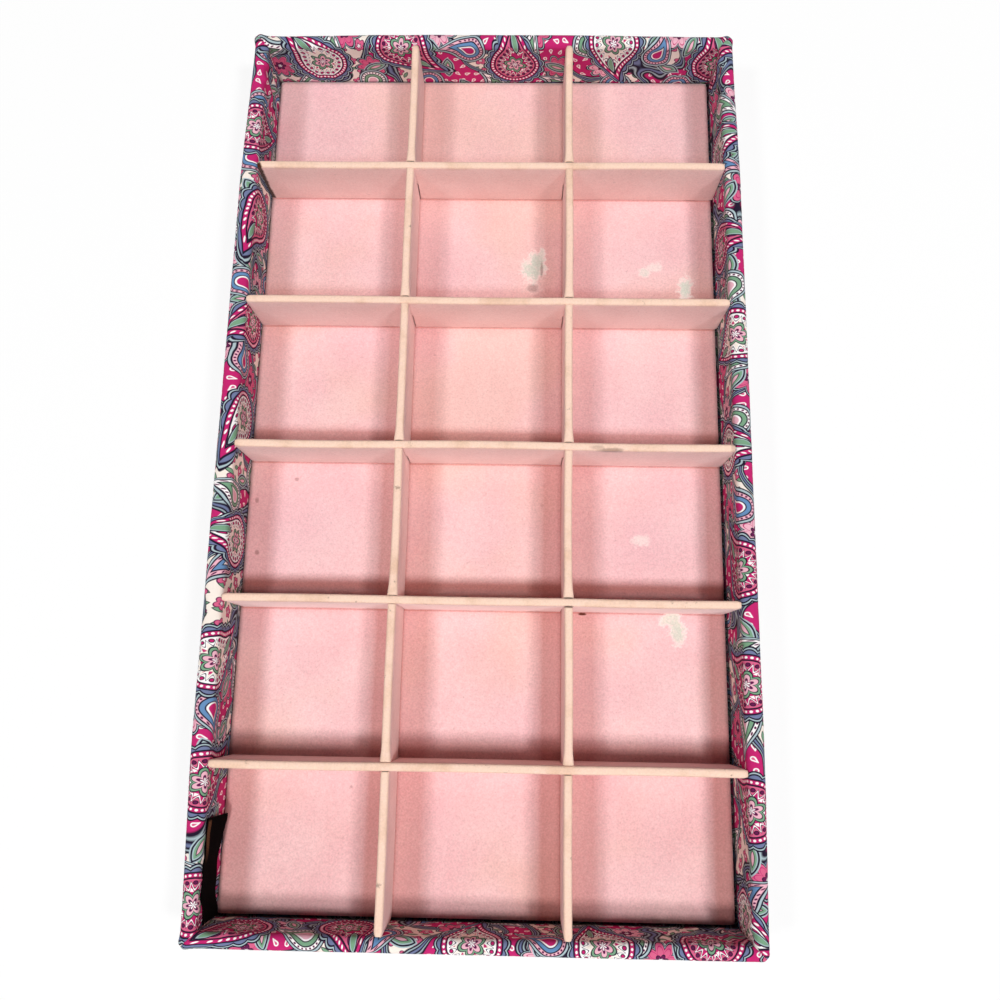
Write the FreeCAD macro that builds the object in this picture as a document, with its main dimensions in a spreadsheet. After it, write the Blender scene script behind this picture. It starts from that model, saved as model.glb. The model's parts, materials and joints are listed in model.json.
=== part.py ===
"""Cloth-covered jewelry tray with a lift-out grid of velour-covered dividers.

Millimetres, +Z up, front towards -Y. The origin is the middle of the underside.
"""
import FreeCAD, Part
import Sketcher
import os

COLUMNS = 3
ROWS = 6

# Driving sizes: alias, value, what it is
SIZES = [
    ("tray_width", 210.0, "outside width over the cotton"),
    ("tray_length", 374.0, "outside length over the cotton"),
    ("rim_height", 30.0, "underside to the top of the cotton on the rim"),
    ("wall_board", 2.4, "thickness of the wall boards"),
    ("wadding", 1.1, "thickness of the wadding on each face of a wall"),
    ("cotton", 0.4, "thickness of the printed cotton"),
    ("rim_round_share", 0.94, "rounding of the rim as a share of half the wall"),
    ("corner_round_share", 1.12, "rounding of the upright corners as a share of the rim's"),
    ("inner_corner", 1.0, "rounding of the inside corners of the cotton"),
    ("turn_under", 14.0, "cotton turned under the base board"),
    ("turn_in", 10.0, "cotton turned in under the floor card"),
    ("base_board", 2.5, "thickness of the base board"),
    ("under_sheet", 0.4, "thickness of the underside sheet"),
    ("under_margin", 5.0, "underside sheet's edge to the outside of the tray"),
    ("under_corner", 4.0, "rounding of the underside sheet's corners"),
    ("floor_card", 1.5, "thickness of the floor card"),
    ("floor_velour", 0.6, "thickness of the floor's velour"),
    ("floor_gap", 0.7, "gap round the floor card when it lies in the middle"),
    ("floor_shift_share", 0.7, "share of that gap by which the card lies to the left and back"),
    ("floor_corner", 3.0, "rounding of the floor card's corners"),
    ("divider_board", 2.2, "thickness of the divider boards"),
    ("divider_velour", 0.5, "thickness of the dividers' velour"),
    ("divider_height", 24.8, "floor to the top of the dividers"),
    ("divider_edge", 0.5, "rounding of the divider boards' top edges"),
    ("divider_end_gap", 0.3, "gap from a divider's end to the cotton"),
    ("slot_gap", 0.15, "gap on each side of a cross divider in a long one's slot"),
    ("under_slot_gap", 0.45, "gap on each side of a long divider in a cross one's slot"),
    ("end_row_less", 1.6, "how much shorter the front and back rows are than the others"),
    ("slot_depth_share", 0.5, "share of the height that the cross dividers' slots take"),
    ("tag_length", 37.5, "length of the woven tag"),
    ("tag_height", 15.5, "height of the woven tag"),
    ("tag_thickness", 0.5, "thickness of the woven tag"),
    ("tag_corner", 0.8, "rounding of the tag's corners"),
    ("tag_rise", 5.0, "floor to the lower edge of the tag"),
    ("tag_from_front", 1.0, "front cotton to the near end of the tag"),
    ("overrun", 1.0, "how far a cutting shape passes the face that it cuts"),
]

# Sizes worked out from the driving ones
WORKED = [
    ("wall", "Sizes.wall_board + 2 * Sizes.wadding + 2 * Sizes.cotton"),
    ("layers", "Sizes.cotton + Sizes.wadding"),
    ("rim_round", "wall / 2 * Sizes.rim_round_share"),
    ("corner_round", "rim_round * Sizes.corner_round_share"),
    ("inner_width", "Sizes.tray_width - 2 * wall"),
    ("inner_length", "Sizes.tray_length - 2 * wall"),
    ("base_bottom", "Sizes.under_sheet + Sizes.cotton"),
    ("base_top", "base_bottom + Sizes.base_board"),
    ("card_bottom", "base_top + Sizes.cotton"),
    ("card_top", "card_bottom + Sizes.floor_card"),
    ("floor_top", "card_top + Sizes.floor_velour"),
    ("floor_width", "inner_width - 2 * Sizes.floor_gap"),
    ("floor_length", "inner_length - 2 * Sizes.floor_gap"),
    ("floor_shift", "Sizes.floor_gap * Sizes.floor_shift_share"),
    ("divider", "Sizes.divider_board + 2 * Sizes.divider_velour"),
    ("divider_round", "Sizes.divider_edge + Sizes.divider_velour"),
    ("cross_length", "inner_width - 2 * Sizes.divider_end_gap"),
    ("long_length", "inner_length - 2 * Sizes.divider_end_gap"),
    ("slot_width", "divider + 2 * Sizes.slot_gap"),
    ("under_slot_width", "divider + 2 * Sizes.under_slot_gap"),
    ("lap_height", "Sizes.divider_height * Sizes.slot_depth_share"),
    ("column_pitch", f"(inner_width + divider) / {COLUMNS}"),
    ("row_pitch", f"(inner_length + divider + 2 * Sizes.end_row_less) / {ROWS}"),
]

doc = FreeCAD.newDocument("jewelry_tray")
sub_parts = []


def write_sheets():
    """Fill the sheet of driving sizes and the sheet worked out from it."""
    sizes = doc.addObject("Spreadsheet::Sheet", "Sizes")
    for row, (alias, value, meaning) in enumerate(SIZES, start=1):
        sizes.set(f"A{row}", meaning)
        sizes.set(f"B{row}", str(value))
        sizes.setAlias(f"B{row}", alias)
    worked = doc.addObject("Spreadsheet::Sheet", "Worked")
    for row, (alias, formula) in enumerate(WORKED, start=1):
        worked.set(f"A{row}", alias)
        worked.set(f"B{row}", "=" + formula)
        worked.setAlias(f"B{row}", alias)
    doc.recompute()


def bind(target, **expressions):
    """Tie properties of an object to expressions over the sheets."""
    for name, expression in expressions.items():
        target.setExpression(name, expression)


def place(target, x, y, z):
    """Tie an object's place to expressions over the sheets."""
    for axis, expression in zip("xyz", (x, y, z)):
        target.setExpression(f"Placement.Base.{axis}", expression)


def new_body(label):
    """Start a body."""
    body = doc.addObject("PartDesign::Body", label)
    body.Label = label
    return body


def new_sketch(body, plane, name):
    """Start a sketch on one of the body's own origin planes."""
    sketch = body.newObject("Sketcher::SketchObject", f"{body.Name}_{name}")
    role = [item for item in body.Origin.OriginFeatures if item.Role == plane]
    sketch.AttachmentSupport = (role[0], "")
    sketch.MapMode = "FlatFace"
    return sketch


def measure(sketch, kind, points, expression):
    """Add a distance to a sketch and tie it to an expression."""
    start = float(sketch.evalExpression(expression))
    index = sketch.addConstraint(Sketcher.Constraint(kind, *points, start))
    sketch.setExpression(f"Constraints[{index}]", expression)


def add_polygon(sketch, corners):
    """Draw a closed outline whose corners are tied to expressions.

    Each corner is a pair of expressions for its distances from the sketch's origin, both
    positive, or "0" for a corner that lies on an axis.
    """
    values = [[float(sketch.evalExpression(part)) for part in corner] for corner in corners]
    points = [FreeCAD.Vector(x, y, 0) for x, y in values]
    first = sketch.GeometryCount
    count = len(points)
    for step in range(count):
        sketch.addGeometry(Part.LineSegment(points[step], points[(step + 1) % count]), False)
    for step in range(count):
        following = first + (step + 1) % count
        sketch.addConstraint(Sketcher.Constraint("Coincident", first + step, 2, following, 1))
    for step, (across, up) in enumerate(corners):
        spot = (first + step, 1)
        if across == "0":
            sketch.addConstraint(Sketcher.Constraint("PointOnObject", *spot, -2))
        else:
            measure(sketch, "DistanceX", (-1, 1, *spot), across)
        if up == "0":
            sketch.addConstraint(Sketcher.Constraint("PointOnObject", *spot, -1))
        else:
            measure(sketch, "DistanceY", (-1, 1, *spot), up)


def add_rectangle(sketch, left, bottom, right, top):
    """Draw a rectangle between two corners given as expressions."""
    add_polygon(sketch, [(left, bottom), (right, bottom), (right, top), (left, top)])


def pad(body, sketch, name, height):
    """Raise a sketch into a solid."""
    feature = body.newObject("PartDesign::Pad", f"{body.Name}_{name}")
    feature.Profile = sketch
    bind(feature, Length=height)
    sketch.Visibility = False
    doc.recompute()
    return feature


def round_edges(body, base, name, radius, wanted):
    """Round the edges of a feature that the test picks."""
    feature = body.newObject("PartDesign::Fillet", f"{body.Name}_{name}")
    picked = [f"Edge{n}" for n, edge in enumerate(base.Shape.Edges, start=1) if wanted(edge)]
    feature.Base = (base, picked)
    bind(feature, Radius=radius)
    doc.recompute()
    return feature


def is_upright(edge):
    """Tell whether an edge runs along Z."""
    box = edge.BoundBox
    return box.XLength + box.YLength < box.ZLength


def lies_at_top(shape):
    """Give a test for the edges in a shape's highest plane."""
    top = max(vertex.Z for vertex in shape.Vertexes)
    return lambda edge: all(top - vertex.Z <= vertex.Tolerance for vertex in edge.Vertexes)


def in_hole(edge, shape):
    """Tell whether an edge lies inside the outline of a ring."""
    box, whole = edge.BoundBox, shape.BoundBox
    return box.XMin > whole.XMin and box.XMax < whole.XMax \
        and box.YMin > whole.YMin and box.YMax < whole.YMax


def plate(label, width, length, thickness, bottom, corner=None, shift="0"):
    """Make a flat plate, with rounded corners if a radius is given.

    It is centred on the tray, or lies off to the left and the back by shift.
    """
    body = new_body(label)
    sketch = new_sketch(body, "XY_Plane", "outline")
    add_rectangle(sketch, "0", "0", width, length)
    last = pad(body, sketch, "pad", thickness)
    if corner:
        round_edges(body, last, "corners", corner, is_upright)
    place(body, f"-({width}) / 2 - {shift}", f"-({length}) / 2 + {shift}", bottom)
    return body


def wall_ring(label, inset, wall, bottom, top, outer, inner, rim=None):
    """Make a rounded ring standing on the tray's outline.

    inset is the distance from the tray's outside to the ring's, wall its thickness; outer,
    inner and rim round its upright edges outside and inside and its top edges.
    """
    width, length = f"(Sizes.tray_width - 2 * ({inset}))", f"(Sizes.tray_length - 2 * ({inset}))"
    body = new_body(label)
    sketch = new_sketch(body, "XY_Plane", "outline")
    add_rectangle(sketch, "0", "0", width, length)
    add_rectangle(sketch, wall, wall, f"{width} - ({wall})", f"{length} - ({wall})")
    last = pad(body, sketch, "pad", f"({top}) - ({bottom})")
    shape = last.Shape
    last = round_edges(body, last, "outer_corners", outer,
                       lambda edge: is_upright(edge) and not in_hole(edge, shape))
    shape_two = last.Shape
    last = round_edges(body, last, "inner_corners", inner,
                       lambda edge: is_upright(edge) and in_hole(edge, shape_two))
    if rim:
        round_edges(body, last, "rim", rim, lies_at_top(last.Shape))
    place(body, f"-{width} / 2", f"-{length} / 2", bottom)
    return body


def boolean(kind, label, base, *tools):
    """Join, cut or intersect objects."""
    result = doc.addObject(f"Part::{kind}", label)
    result.Label = label
    if kind.startswith("Multi"):
        result.Shapes = [base, *tools]
    else:
        result.Base, result.Tool = base, tools[0]
    doc.recompute()
    return result


def wedges():
    """Make the four upright prisms, mitred at the corners, that part one wall from the next."""
    width, length, past = "Sizes.tray_width", "Sizes.tray_length", "Sizes.overrun"
    near = middle = f"{width} / 2 + {past}"
    far = f"{length} - {width} / 2 + {past}"
    right, back = f"{width} + 2 * {past}", f"{length} + 2 * {past}"
    outlines = {
        "front": [("0", "0"), (right, "0"), (middle, near)],
        "back": [("0", back), (middle, far), (right, back)],
        "left": [("0", "0"), (middle, near), (middle, far), ("0", back)],
        "right": [(right, "0"), (right, back), (middle, far), (middle, near)],
    }
    result = {}
    for side, corners in outlines.items():
        body = new_body(f"{side}_mitre")
        sketch = new_sketch(body, "XY_Plane", "outline")
        add_polygon(sketch, corners)
        pad(body, sketch, "pad", f"Sizes.rim_height + 2 * {past}")
        place(body, f"-({right}) / 2", f"-({back}) / 2", f"-{past}")
        result[side] = body
    return result


def wall_boards():
    """Make the wall boards: front and back run full width, the sides butt between them."""
    across = "(Sizes.tray_width - 2 * Worked.layers)"
    along = "(Sizes.tray_length - 2 * Worked.layers - 2 * Sizes.wall_board)"
    height = "Sizes.rim_height - Worked.layers - Worked.base_bottom"
    ease = "Worked.corner_round - Worked.layers"
    offset_y = "(Sizes.tray_length / 2 - Worked.layers)"
    offset_x = "(Sizes.tray_width / 2 - Worked.layers)"
    boards = []
    for side, near in (("front", f"-{offset_y}"), ("back", f"{offset_y} - Sizes.wall_board")):
        body = new_body(f"{side}_wall_board")
        sketch = new_sketch(body, "XY_Plane", "outline")
        add_rectangle(sketch, "0", "0", across, "Sizes.wall_board")
        last = pad(body, sketch, "pad", height)
        outside = 0 if side == "front" else last.Shape.BoundBox.YMax
        middle = last.Shape.BoundBox.Center.y
        round_edges(body, last, "eased_corners", ease, lambda edge: is_upright(edge)
                    and (edge.BoundBox.Center.y - middle) * (outside - middle) > 0)
        place(body, f"-{across} / 2", near, "Worked.base_bottom")
        boards.append(body)
    for side, near in (("left", f"-{offset_x}"), ("right", f"{offset_x} - Sizes.wall_board")):
        body = new_body(f"{side}_wall_board")
        sketch = new_sketch(body, "XY_Plane", "outline")
        add_rectangle(sketch, "0", "0", "Sizes.wall_board", along)
        pad(body, sketch, "pad", height)
        place(body, near, f"-{along} / 2", "Worked.base_bottom")
        boards.append(body)
    sub_parts.extend(boards)
    return boards


def covered_walls(base):
    """Make the boards, the wadding and the cotton of the four walls."""
    boards = wall_boards()
    core = boolean("MultiFuse", "wall_core", *boards, base)
    cotton_form = wall_ring(
        "cotton_form", "0", "Worked.wall", "Sizes.under_sheet", "Sizes.rim_height",
        "Worked.corner_round", "Sizes.inner_corner", "Worked.rim_round")
    wadding_form = wall_ring(
        "wadding_form", "Sizes.cotton", "Worked.wall - 2 * Sizes.cotton", "Worked.base_bottom",
        "Sizes.rim_height - Sizes.cotton", "Worked.corner_round - Sizes.cotton",
        "Sizes.inner_corner + Sizes.cotton", "Worked.rim_round - Sizes.cotton")
    hem = wall_ring(
        "turned_under_hem", "0", "Sizes.turn_under", "Sizes.under_sheet", "Worked.base_bottom",
        "Worked.corner_round", "Sizes.inner_corner")
    lip = wall_ring(
        "turned_in_lip", "Worked.wall", "Sizes.turn_in", "Worked.base_top", "Worked.card_bottom",
        "Sizes.inner_corner", "Sizes.inner_corner")
    hollow = boolean("MultiFuse", "cotton_hollow", wadding_form, core)
    legs = boolean("Cut", "cotton_legs", cotton_form, hollow)
    cotton = boolean("MultiFuse", "cotton_cover", legs, hem, lip)
    wadding = boolean("Cut", "wadding_cover", wadding_form, core)
    for side, wedge in wedges().items():
        sub_parts.append(boolean("Common", f"{side}_wadding", wadding, wedge))
        sub_parts.append(boolean("Common", f"{side}_cotton_wrap", cotton, wedge))


def floor_pieces():
    """Make the base board, the underside sheet, the floor card and its velour."""
    clear = "2 * (Worked.layers + Sizes.wall_board)"
    base = plate("base_board", f"Sizes.tray_width - {clear}", f"Sizes.tray_length - {clear}",
                 "Sizes.base_board", "Worked.base_bottom")
    sheet_width = "Sizes.tray_width - 2 * Sizes.under_margin"
    sheet_length = "Sizes.tray_length - 2 * Sizes.under_margin"
    lower = plate("under_sheet_lower", sheet_width, sheet_length, "Sizes.under_sheet", "0",
                  "Sizes.under_corner")
    upper = plate("under_sheet_upper", "Sizes.tray_width - 2 * Sizes.turn_under",
                  "Sizes.tray_length - 2 * Sizes.turn_under", "Sizes.cotton", "Sizes.under_sheet",
                  "Sizes.inner_corner")
    under = boolean("MultiFuse", "underside_sheet", lower, upper)
    card = plate("floor_card", "Worked.floor_width", "Worked.floor_length", "Sizes.floor_card",
                 "Worked.card_bottom", "Sizes.floor_corner", "Worked.floor_shift")
    velour = plate("floor_velour", "Worked.floor_width", "Worked.floor_length",
                   "Sizes.floor_velour", "Worked.card_top", "Sizes.floor_corner",
                   "Worked.floor_shift")
    sub_parts.extend([base, under, card, velour])
    return base


def comb(label, plane, length, height, thickness, edge, slots, from_top):
    """Make an upright slotted strip whose top edges are rounded.

    slots are expressions for the distances of the slots' middles from the strip's end.
    """
    body = new_body(label)
    sketch = new_sketch(body, plane, "outline")
    half = "Worked.slot_width / 2" if from_top else "Worked.under_slot_width / 2"
    low, high = ("Worked.lap_height", height) if from_top else ("0", "Worked.lap_height")
    corners = [("0", "0")]
    notches = [[(f"{at} - {half}", low), (f"{at} - {half}", high),
                (f"{at} + {half}", high), (f"{at} + {half}", low)] for at in slots]
    if from_top:
        corners += [(length, "0"), (length, height)]
        for left_low, left_high, right_high, right_low in reversed(notches):
            corners += [right_high, right_low, left_low, left_high]
        corners += [("0", height)]
    else:
        for left_low, left_high, right_high, right_low in notches:
            corners += [left_low, left_high, right_high, right_low]
        corners += [(length, "0"), (length, height), ("0", height)]
    add_polygon(sketch, corners)
    last = pad(body, sketch, "pad", thickness)
    last.Midplane = True
    doc.recompute()
    top = lies_at_top(last.Shape)
    run = 0 if plane == "XZ_Plane" else 1

    def along_strip(edge):
        box = edge.BoundBox
        spans = (box.XLength, box.YLength)
        return top(edge) and spans[run] > spans[1 - run]

    round_edges(body, last, "top_edges", edge, along_strip)
    return body


def divider(label, plane, length, slots, from_top, at_x, at_y):
    """Make one divider: a slotted board under a folded cover of velour."""
    cover_height = "Sizes.divider_height"
    board_height = "(Sizes.divider_height - Sizes.divider_velour)"
    board = comb(f"{label}_board", plane, length, board_height, "Sizes.divider_board",
                 "Sizes.divider_edge", slots, from_top)
    form = comb(f"{label}_form", plane, length, cover_height, "Worked.divider",
                "Worked.divider_round", slots, from_top)
    for body in (board, form):
        place(body, at_x, at_y, "Worked.floor_top")
    cover = boolean("Cut", f"{label}_velour", form, board)
    sub_parts.extend([board, cover])


def divider_grid():
    """Make the two long and the five cross dividers, halved together at each crossing."""
    middle_across = "Worked.cross_length / 2"
    middle_along = "Worked.long_length / 2"
    columns = [f"({n} - {COLUMNS} / 2) * Worked.column_pitch" for n in range(1, COLUMNS)]
    rows = [f"({n} - {ROWS} / 2) * Worked.row_pitch" for n in range(1, ROWS)]
    for name, at in zip(("left", "right"), columns):
        slots = [f"({middle_along} + {row})" for row in rows]
        divider(f"long_divider_{name}", "YZ_Plane", "Worked.long_length", slots, True,
                at, f"-{middle_along}")
    for number, at in enumerate(reversed(rows), start=1):
        slots = [f"({middle_across} + {column})" for column in columns]
        divider(f"cross_divider_{number}", "XZ_Plane", "Worked.cross_length", slots, False,
                f"-{middle_across}", at)


def tag():
    """Make the plain woven tag on the inside of the left wall, near the front."""
    body = new_body("woven_tag")
    sketch = new_sketch(body, "YZ_Plane", "outline")
    add_rectangle(sketch, "0", "0", "Sizes.tag_length", "Sizes.tag_height")
    last = pad(body, sketch, "pad", "Sizes.tag_thickness")
    round_edges(body, last, "corners", "Sizes.tag_corner",
                lambda edge: edge.BoundBox.XLength > edge.BoundBox.YLength + edge.BoundBox.ZLength)
    place(body, "-Worked.inner_width / 2", "-Worked.inner_length / 2 + Sizes.tag_from_front",
          "Worked.floor_top + Sizes.tag_rise")
    sub_parts.append(body)


def check_and_write():
    """Stop on any failed object, then write one file for each sub-part."""
    doc.recompute()
    for item in doc.Objects:
        if any(state in ("Invalid", "Error") for state in item.State):
            raise RuntimeError(f"{item.Label} failed: {item.State}")
    os.makedirs("parts", exist_ok=True)
    for item in sub_parts:
        shape = item.Shape
        if shape.isNull() or not shape.isValid() or len(shape.Solids) != 1:
            raise RuntimeError(f"{item.Label} is not one valid solid")
    for item in sub_parts:
        item.Shape.exportStep(os.path.join("parts", f"{item.Label}.step"))
        print(item.Label, round(item.Shape.Volume, 1))


write_sheets()
covered_walls(floor_pieces())
divider_grid()
tag()
check_and_write()
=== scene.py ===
"""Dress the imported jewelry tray: cotton walls, velour floor and dividers, tag, light, camera."""

import json
import logging
import math
from dataclasses import dataclass
from enum import Enum
from typing import Iterable, Sequence

import bmesh
import bpy
from mathutils import Matrix, Vector, noise


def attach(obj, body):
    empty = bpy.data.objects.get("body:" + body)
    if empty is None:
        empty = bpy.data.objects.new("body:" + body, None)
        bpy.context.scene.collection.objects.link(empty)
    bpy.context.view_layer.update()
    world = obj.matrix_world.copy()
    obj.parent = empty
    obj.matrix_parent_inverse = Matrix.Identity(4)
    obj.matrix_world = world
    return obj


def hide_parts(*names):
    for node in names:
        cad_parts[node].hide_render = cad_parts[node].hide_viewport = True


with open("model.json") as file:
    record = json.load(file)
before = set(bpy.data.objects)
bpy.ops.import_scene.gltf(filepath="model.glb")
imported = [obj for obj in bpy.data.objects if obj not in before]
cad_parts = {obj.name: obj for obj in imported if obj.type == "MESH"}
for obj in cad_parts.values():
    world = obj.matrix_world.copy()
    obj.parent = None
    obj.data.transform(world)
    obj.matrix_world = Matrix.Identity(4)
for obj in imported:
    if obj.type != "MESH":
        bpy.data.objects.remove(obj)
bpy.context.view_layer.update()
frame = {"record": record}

LOG = logging.getLogger("jewelry_tray")
MM = 0.001
FLAT_CUT = "flat_cut"
FLAT_SCALE = 0.01
Colour = tuple[float, float, float]
Pair = tuple[float, float]


def ink(code: str) -> Colour:
    """Turn a web colour into scene-linear light.

    Args:
        code: six hexadecimal digits.

    Returns:
        Linear red, green and blue.
    """
    parts = [int(code[start:start + 2], 16) / 255 for start in (0, 2, 4)]
    return tuple(p / 12.92 if p <= 0.04045 else ((p + 0.055) / 1.055) ** 2.4 for p in parts)


def ease(value: float, low: float, high: float) -> float:
    """Rise smoothly from 0 at low to 1 at high."""
    share = min(max((value - low) / (high - low), 0.0), 1.0)
    return share * share * (3 - 2 * share)


class Field:
    """A number that varies over a surface, carried by a node's output."""

    def __init__(self, board: "NodeBoard", socket: bpy.types.NodeSocket) -> None:
        """Keep the output and the board that its node lies on."""
        self.board = board
        self.socket = socket

    def __add__(self, other: "Field | float") -> "Field":
        """Add."""
        return self.board.math("ADD", self, other)

    def __sub__(self, other: "Field | float") -> "Field":
        """Subtract."""
        return self.board.math("SUBTRACT", self, other)

    def __rsub__(self, other: float) -> "Field":
        """Subtract from a plain number."""
        return self.board.math("SUBTRACT", other, self)

    def __mul__(self, other: "Field | float") -> "Field":
        """Multiply."""
        return self.board.math("MULTIPLY", self, other)

    def __abs__(self) -> "Field":
        """Drop the sign."""
        return self.board.math("ABSOLUTE", self)

    def sin(self) -> "Field":
        """Take the sine."""
        return self.board.math("SINE", self)

    def cos(self) -> "Field":
        """Take the cosine."""
        return self.board.math("COSINE", self)

    def fract(self) -> "Field":
        """Keep what follows the point."""
        return self.board.math("FRACT", self)

    def floor(self) -> "Field":
        """Round down."""
        return self.board.math("FLOOR", self)

    def at_least(self, other: "Field | float") -> "Field":
        """Take the larger of two."""
        return self.board.math("MAXIMUM", self, other)

    def at_most(self, other: "Field | float") -> "Field":
        """Take the smaller of two."""
        return self.board.math("MINIMUM", self, other)

    def ramp(self, low: float, high: float) -> "Field":
        """Run straight from 0 at low to 1 at high, and stay there.

        Args:
            low: value that gives 0.
            high: value that gives 1; below low, the ramp falls.

        Returns:
            A share from 0 to 1.
        """
        slope = 1 / (high - low)
        return self.board.math("MULTIPLY_ADD", self, slope, -low * slope, clamp=True)

    def inside(self, limit: float = 0.0, soft: float = 0.09) -> "Field":
        """Give 1 where the number is under a limit and 0 above it, with a soft edge."""
        return self.ramp(limit + soft, limit - soft)


class Spot:
    """A point that moves over a surface, carried by a vector output."""

    def __init__(self, board: "NodeBoard", socket: bpy.types.NodeSocket) -> None:
        """Keep the output and the board that its node lies on."""
        self.board = board
        self.socket = socket
        self._split: bpy.types.Node | None = None

    def _part(self, index: int) -> Field:
        """Give one coordinate."""
        if self._split is None:
            self._split = self.board.node("ShaderNodeSeparateXYZ")
            self.board.feed(self._split.inputs[0], self)
        return Field(self.board, self._split.outputs[index])

    @property
    def x(self) -> Field:
        """First coordinate."""
        return self._part(0)

    @property
    def y(self) -> Field:
        """Second coordinate."""
        return self._part(1)

    @property
    def z(self) -> Field:
        """Third coordinate."""
        return self._part(2)

    def _vector(self, operation: str, other: "Spot | Sequence[float]") -> "Spot":
        """Combine with another vector."""
        made = self.board.node("ShaderNodeVectorMath", operation=operation)
        self.board.feed(made.inputs[0], self)
        self.board.feed(made.inputs[1], other)
        return Spot(self.board, made.outputs[0])

    def moved(self, x: float, y: float, z: float = 0.0) -> "Spot":
        """Shift by a fixed step."""
        return self._vector("ADD", (x, y, z))

    def less(self, other: "Spot") -> "Spot":
        """Subtract another point."""
        return self._vector("SUBTRACT", other)

    def times(self, x: float, y: float, z: float = 1.0) -> "Spot":
        """Stretch along the axes."""
        return self._vector("MULTIPLY", (x, y, z))

    def floor(self) -> "Spot":
        """Round each coordinate down."""
        return self._vector("FLOOR", (0.0, 0.0, 0.0))

    def turned(self, angle: Field | float) -> "Spot":
        """Turn about the third axis."""
        made = self.board.node("ShaderNodeVectorRotate", rotation_type="Z_AXIS")
        self.board.feed(made.inputs["Vector"], self)
        self.board.feed(made.inputs["Angle"], angle)
        return Spot(self.board, made.outputs[0])

    def reach(self) -> Field:
        """Distance from the middle."""
        made = self.board.node("ShaderNodeVectorMath", operation="LENGTH")
        self.board.feed(made.inputs[0], self)
        return Field(self.board, made.outputs["Value"])


class NodeBoard:
    """Lay out the nodes of one material."""

    def __init__(self, name: str) -> None:
        """Start a material with an empty node tree."""
        self.material = bpy.data.materials.new(name)
        self.material.use_nodes = True
        self.tree = self.material.node_tree
        self.tree.nodes.clear()

    def node(self, kind: str, **settings: object) -> bpy.types.Node:
        """Add a node and set its choices."""
        made = self.tree.nodes.new(kind)
        for name, value in settings.items():
            setattr(made, name, value)
        return made

    def feed(self, socket: bpy.types.NodeSocket, value: object) -> None:
        """Link a socket to an output, or set its value."""
        if isinstance(value, (Field, Spot)):
            self.tree.links.new(value.socket, socket)
        elif isinstance(value, bpy.types.NodeSocket):
            self.tree.links.new(value, socket)
        elif isinstance(value, tuple) and socket.type == "RGBA":
            socket.default_value = (*value, 1.0)
        else:
            socket.default_value = value

    def math(self, operation: str, *terms: Field | float, clamp: bool = False) -> Field:
        """Work out one sum from up to three terms."""
        made = self.node("ShaderNodeMath", operation=operation, use_clamp=clamp)
        for socket, term in zip(made.inputs, terms):
            self.feed(socket, term)
        return Field(self, made.outputs[0])

    def point(self, x: Field | float, y: Field | float, z: Field | float = 0.0) -> Spot:
        """Make a point from coordinates."""
        made = self.node("ShaderNodeCombineXYZ")
        for socket, term in zip(made.inputs, (x, y, z)):
            self.feed(socket, term)
        return Spot(self, made.outputs[0])

    def place(self) -> Spot:
        """Give the point of the piece itself, in metres."""
        return Spot(self, self.node("ShaderNodeTexCoord").outputs["Object"])

    def cloth(self) -> Spot:
        """Give the point of the flat cut, in millimetres."""
        made = self.node("ShaderNodeUVMap", uv_map=FLAT_CUT)
        return Spot(self, made.outputs[0]).times(1 / FLAT_SCALE, 1 / FLAT_SCALE)

    def noise(self, at: Spot, scale: float, detail: float = 2.0, rough: float = 0.5) -> Field:
        """Give smooth noise from 0 to 1."""
        made = self.node("ShaderNodeTexNoise")
        self.feed(made.inputs["Vector"], at)
        for name, value in (("Scale", scale), ("Detail", detail), ("Roughness", rough)):
            made.inputs[name].default_value = value
        return Field(self, made.outputs[0])

    def chance(self, cell: Spot, seed: float) -> Field:
        """Give one even random number for each cell."""
        made = self.node("ShaderNodeTexWhiteNoise", noise_dimensions="3D")
        self.feed(made.inputs["Vector"], cell.moved(seed, seed, seed))
        return Field(self, made.outputs["Value"])

    def lay(self, under: object, mask: Field | float, over: object) -> bpy.types.NodeSocket:
        """Lay one colour over another through a mask."""
        made = self.node("ShaderNodeMix", data_type="RGBA")
        self.feed(made.inputs[0], mask)
        self.feed(made.inputs[6], under)
        self.feed(made.inputs[7], over)
        return made.outputs[2]

    def shade(self, colour: object, amount: Field) -> bpy.types.NodeSocket:
        """Multiply a colour by a number."""
        made = self.node("ShaderNodeVectorMath", operation="SCALE")
        self.feed(made.inputs[0], colour)
        self.feed(made.inputs["Scale"], amount)
        return made.outputs[0]

    def bump(self, height: Field, distance: float, strength: float = 1.0) -> bpy.types.NodeSocket:
        """Turn a height from 0 to 1 into a bent normal."""
        made = self.node("ShaderNodeBump")
        made.inputs["Strength"].default_value = strength
        made.inputs["Distance"].default_value = distance
        self.feed(made.inputs["Height"], height)
        return made.outputs[0]

    def finish(self, colour: object, roughness: object, normal: bpy.types.NodeSocket | None,
               **constants: float) -> bpy.types.Material:
        """Close the material with its shader.

        Args:
            colour: colour or output for the base colour.
            roughness: number or field.
            normal: bent normal, if any.
            constants: values for other sockets, with underscores for spaces.

        Returns:
            The finished material.
        """
        shader = self.node("ShaderNodeBsdfPrincipled")
        self.feed(shader.inputs["Base Color"], colour)
        self.feed(shader.inputs["Roughness"], roughness)
        if normal is not None:
            self.feed(shader.inputs["Normal"], normal)
        for name, value in constants.items():
            shader.inputs[name.replace("_", " ")].default_value = value
        out = self.node("ShaderNodeOutputMaterial")
        self.tree.links.new(shader.outputs[0], out.inputs[0])
        return self.material


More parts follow.
